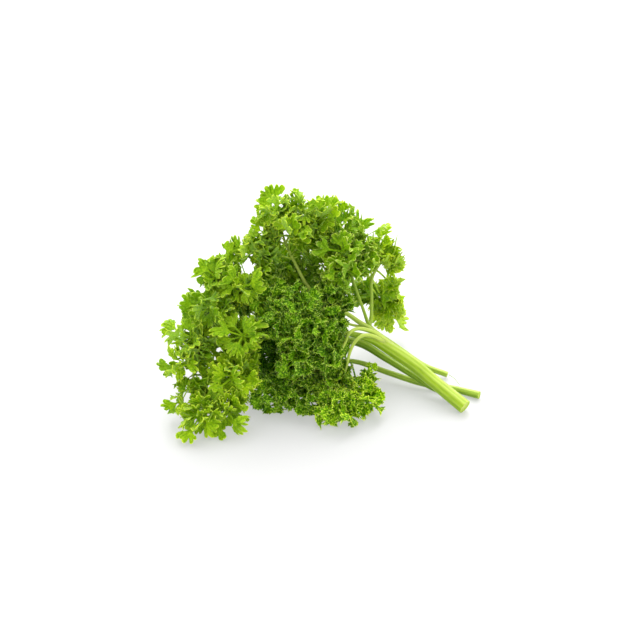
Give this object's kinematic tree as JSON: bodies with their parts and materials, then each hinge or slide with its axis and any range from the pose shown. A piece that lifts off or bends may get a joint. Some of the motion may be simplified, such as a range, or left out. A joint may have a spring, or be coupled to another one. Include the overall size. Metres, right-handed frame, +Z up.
{
  "type": "parsley bunch",
  "caption": "Loose bunch of curly parsley lying on a surface: bare cut stalks to one side, rising and fanning into a heap of finely crinkled green leaf tufts.",
  "frame": {"origin": "middle of the bunch's footprint, on the surface it lies on", "axes": "+X along the stalks towards their cut ends, +Y to the back of the heap, +Z up"},
  "size_m": [0.155, 0.1104, 0.0977],
  "materials": {
    "leaf_broad": "satin",
    "leaf_medium": "satin",
    "leaf_curled": "satin",
    "stalk_pale": "satin",
    "stalk_green": "satin"
  },
  "bodies": {
    "root": {"branch_back": "stalk_green", "branch_left": "stalk_green", "branch_right": "stalk_green", "leaflet_back_1": "leaf_medium", "leaflet_back_10": "leaf_medium", "leaflet_back_2": "leaf_medium", "leaflet_back_3": "leaf_medium", "leaflet_back_4": "leaf_medium", "leaflet_back_5": "leaf_medium", "leaflet_back_6": "leaf_medium", "leaflet_back_7": "leaf_medium", "leaflet_back_8": "leaf_medium", "leaflet_back_9": "leaf_medium", "leaflet_crown_1": "leaf_medium", "leaflet_crown_2": "leaf_medium", "leaflet_crown_3": "leaf_medium", "leaflet_crown_4": "leaf_medium", "leaflet_crown_5": "leaf_medium", "leaflet_front_1": "leaf_curled", "leaflet_front_2": "leaf_curled", "leaflet_front_3": "leaf_curled", "leaflet_front_4": "leaf_curled", "leaflet_front_5": "leaf_curled", "leaflet_front_6": "leaf_curled", "leaflet_front_7": "leaf_curled", "leaflet_front_8": "leaf_curled", "leaflet_front_9": "leaf_curled", "leaflet_left_1": "leaf_broad", "leaflet_left_10": "leaf_broad", "leaflet_left_11": "leaf_broad", "leaflet_left_2": "leaf_broad", "leaflet_left_3": "leaf_broad", "leaflet_left_4": "leaf_broad", "leaflet_left_5": "leaf_broad", "leaflet_left_6": "leaf_broad", "leaflet_left_7": "leaf_broad", "leaflet_left_8": "leaf_broad", "leaflet_left_9": "leaf_broad", "leaflet_low_1": "leaf_curled", "leaflet_low_2": "leaf_curled", "leaflet_low_3": "leaf_curled", "leaflet_low_4": "leaf_curled", "leaflet_low_5": "leaf_curled", "leaflet_low_6": "leaf_curled", "leaflet_right_1": "leaf_broad", "leaflet_right_2": "leaf_broad", "leaflet_right_3": "leaf_broad", "leaflet_right_4": "leaf_broad", "leaflet_right_5": "leaf_broad", "leaflet_top_1": "leaf_broad", "leaflet_top_2": "leaf_broad", "leaflet_top_3": "leaf_broad", "leaflet_top_4": "leaf_broad", "leaflet_top_5": "leaf_broad", "leaflet_top_6": "leaf_broad", "stalk_left": "stalk_green", "stalk_low": "stalk_green", "stalk_main": "stalk_pale", "stalk_right": "stalk_green", "stalk_top": "stalk_green"}
  },
  "joints": []
}
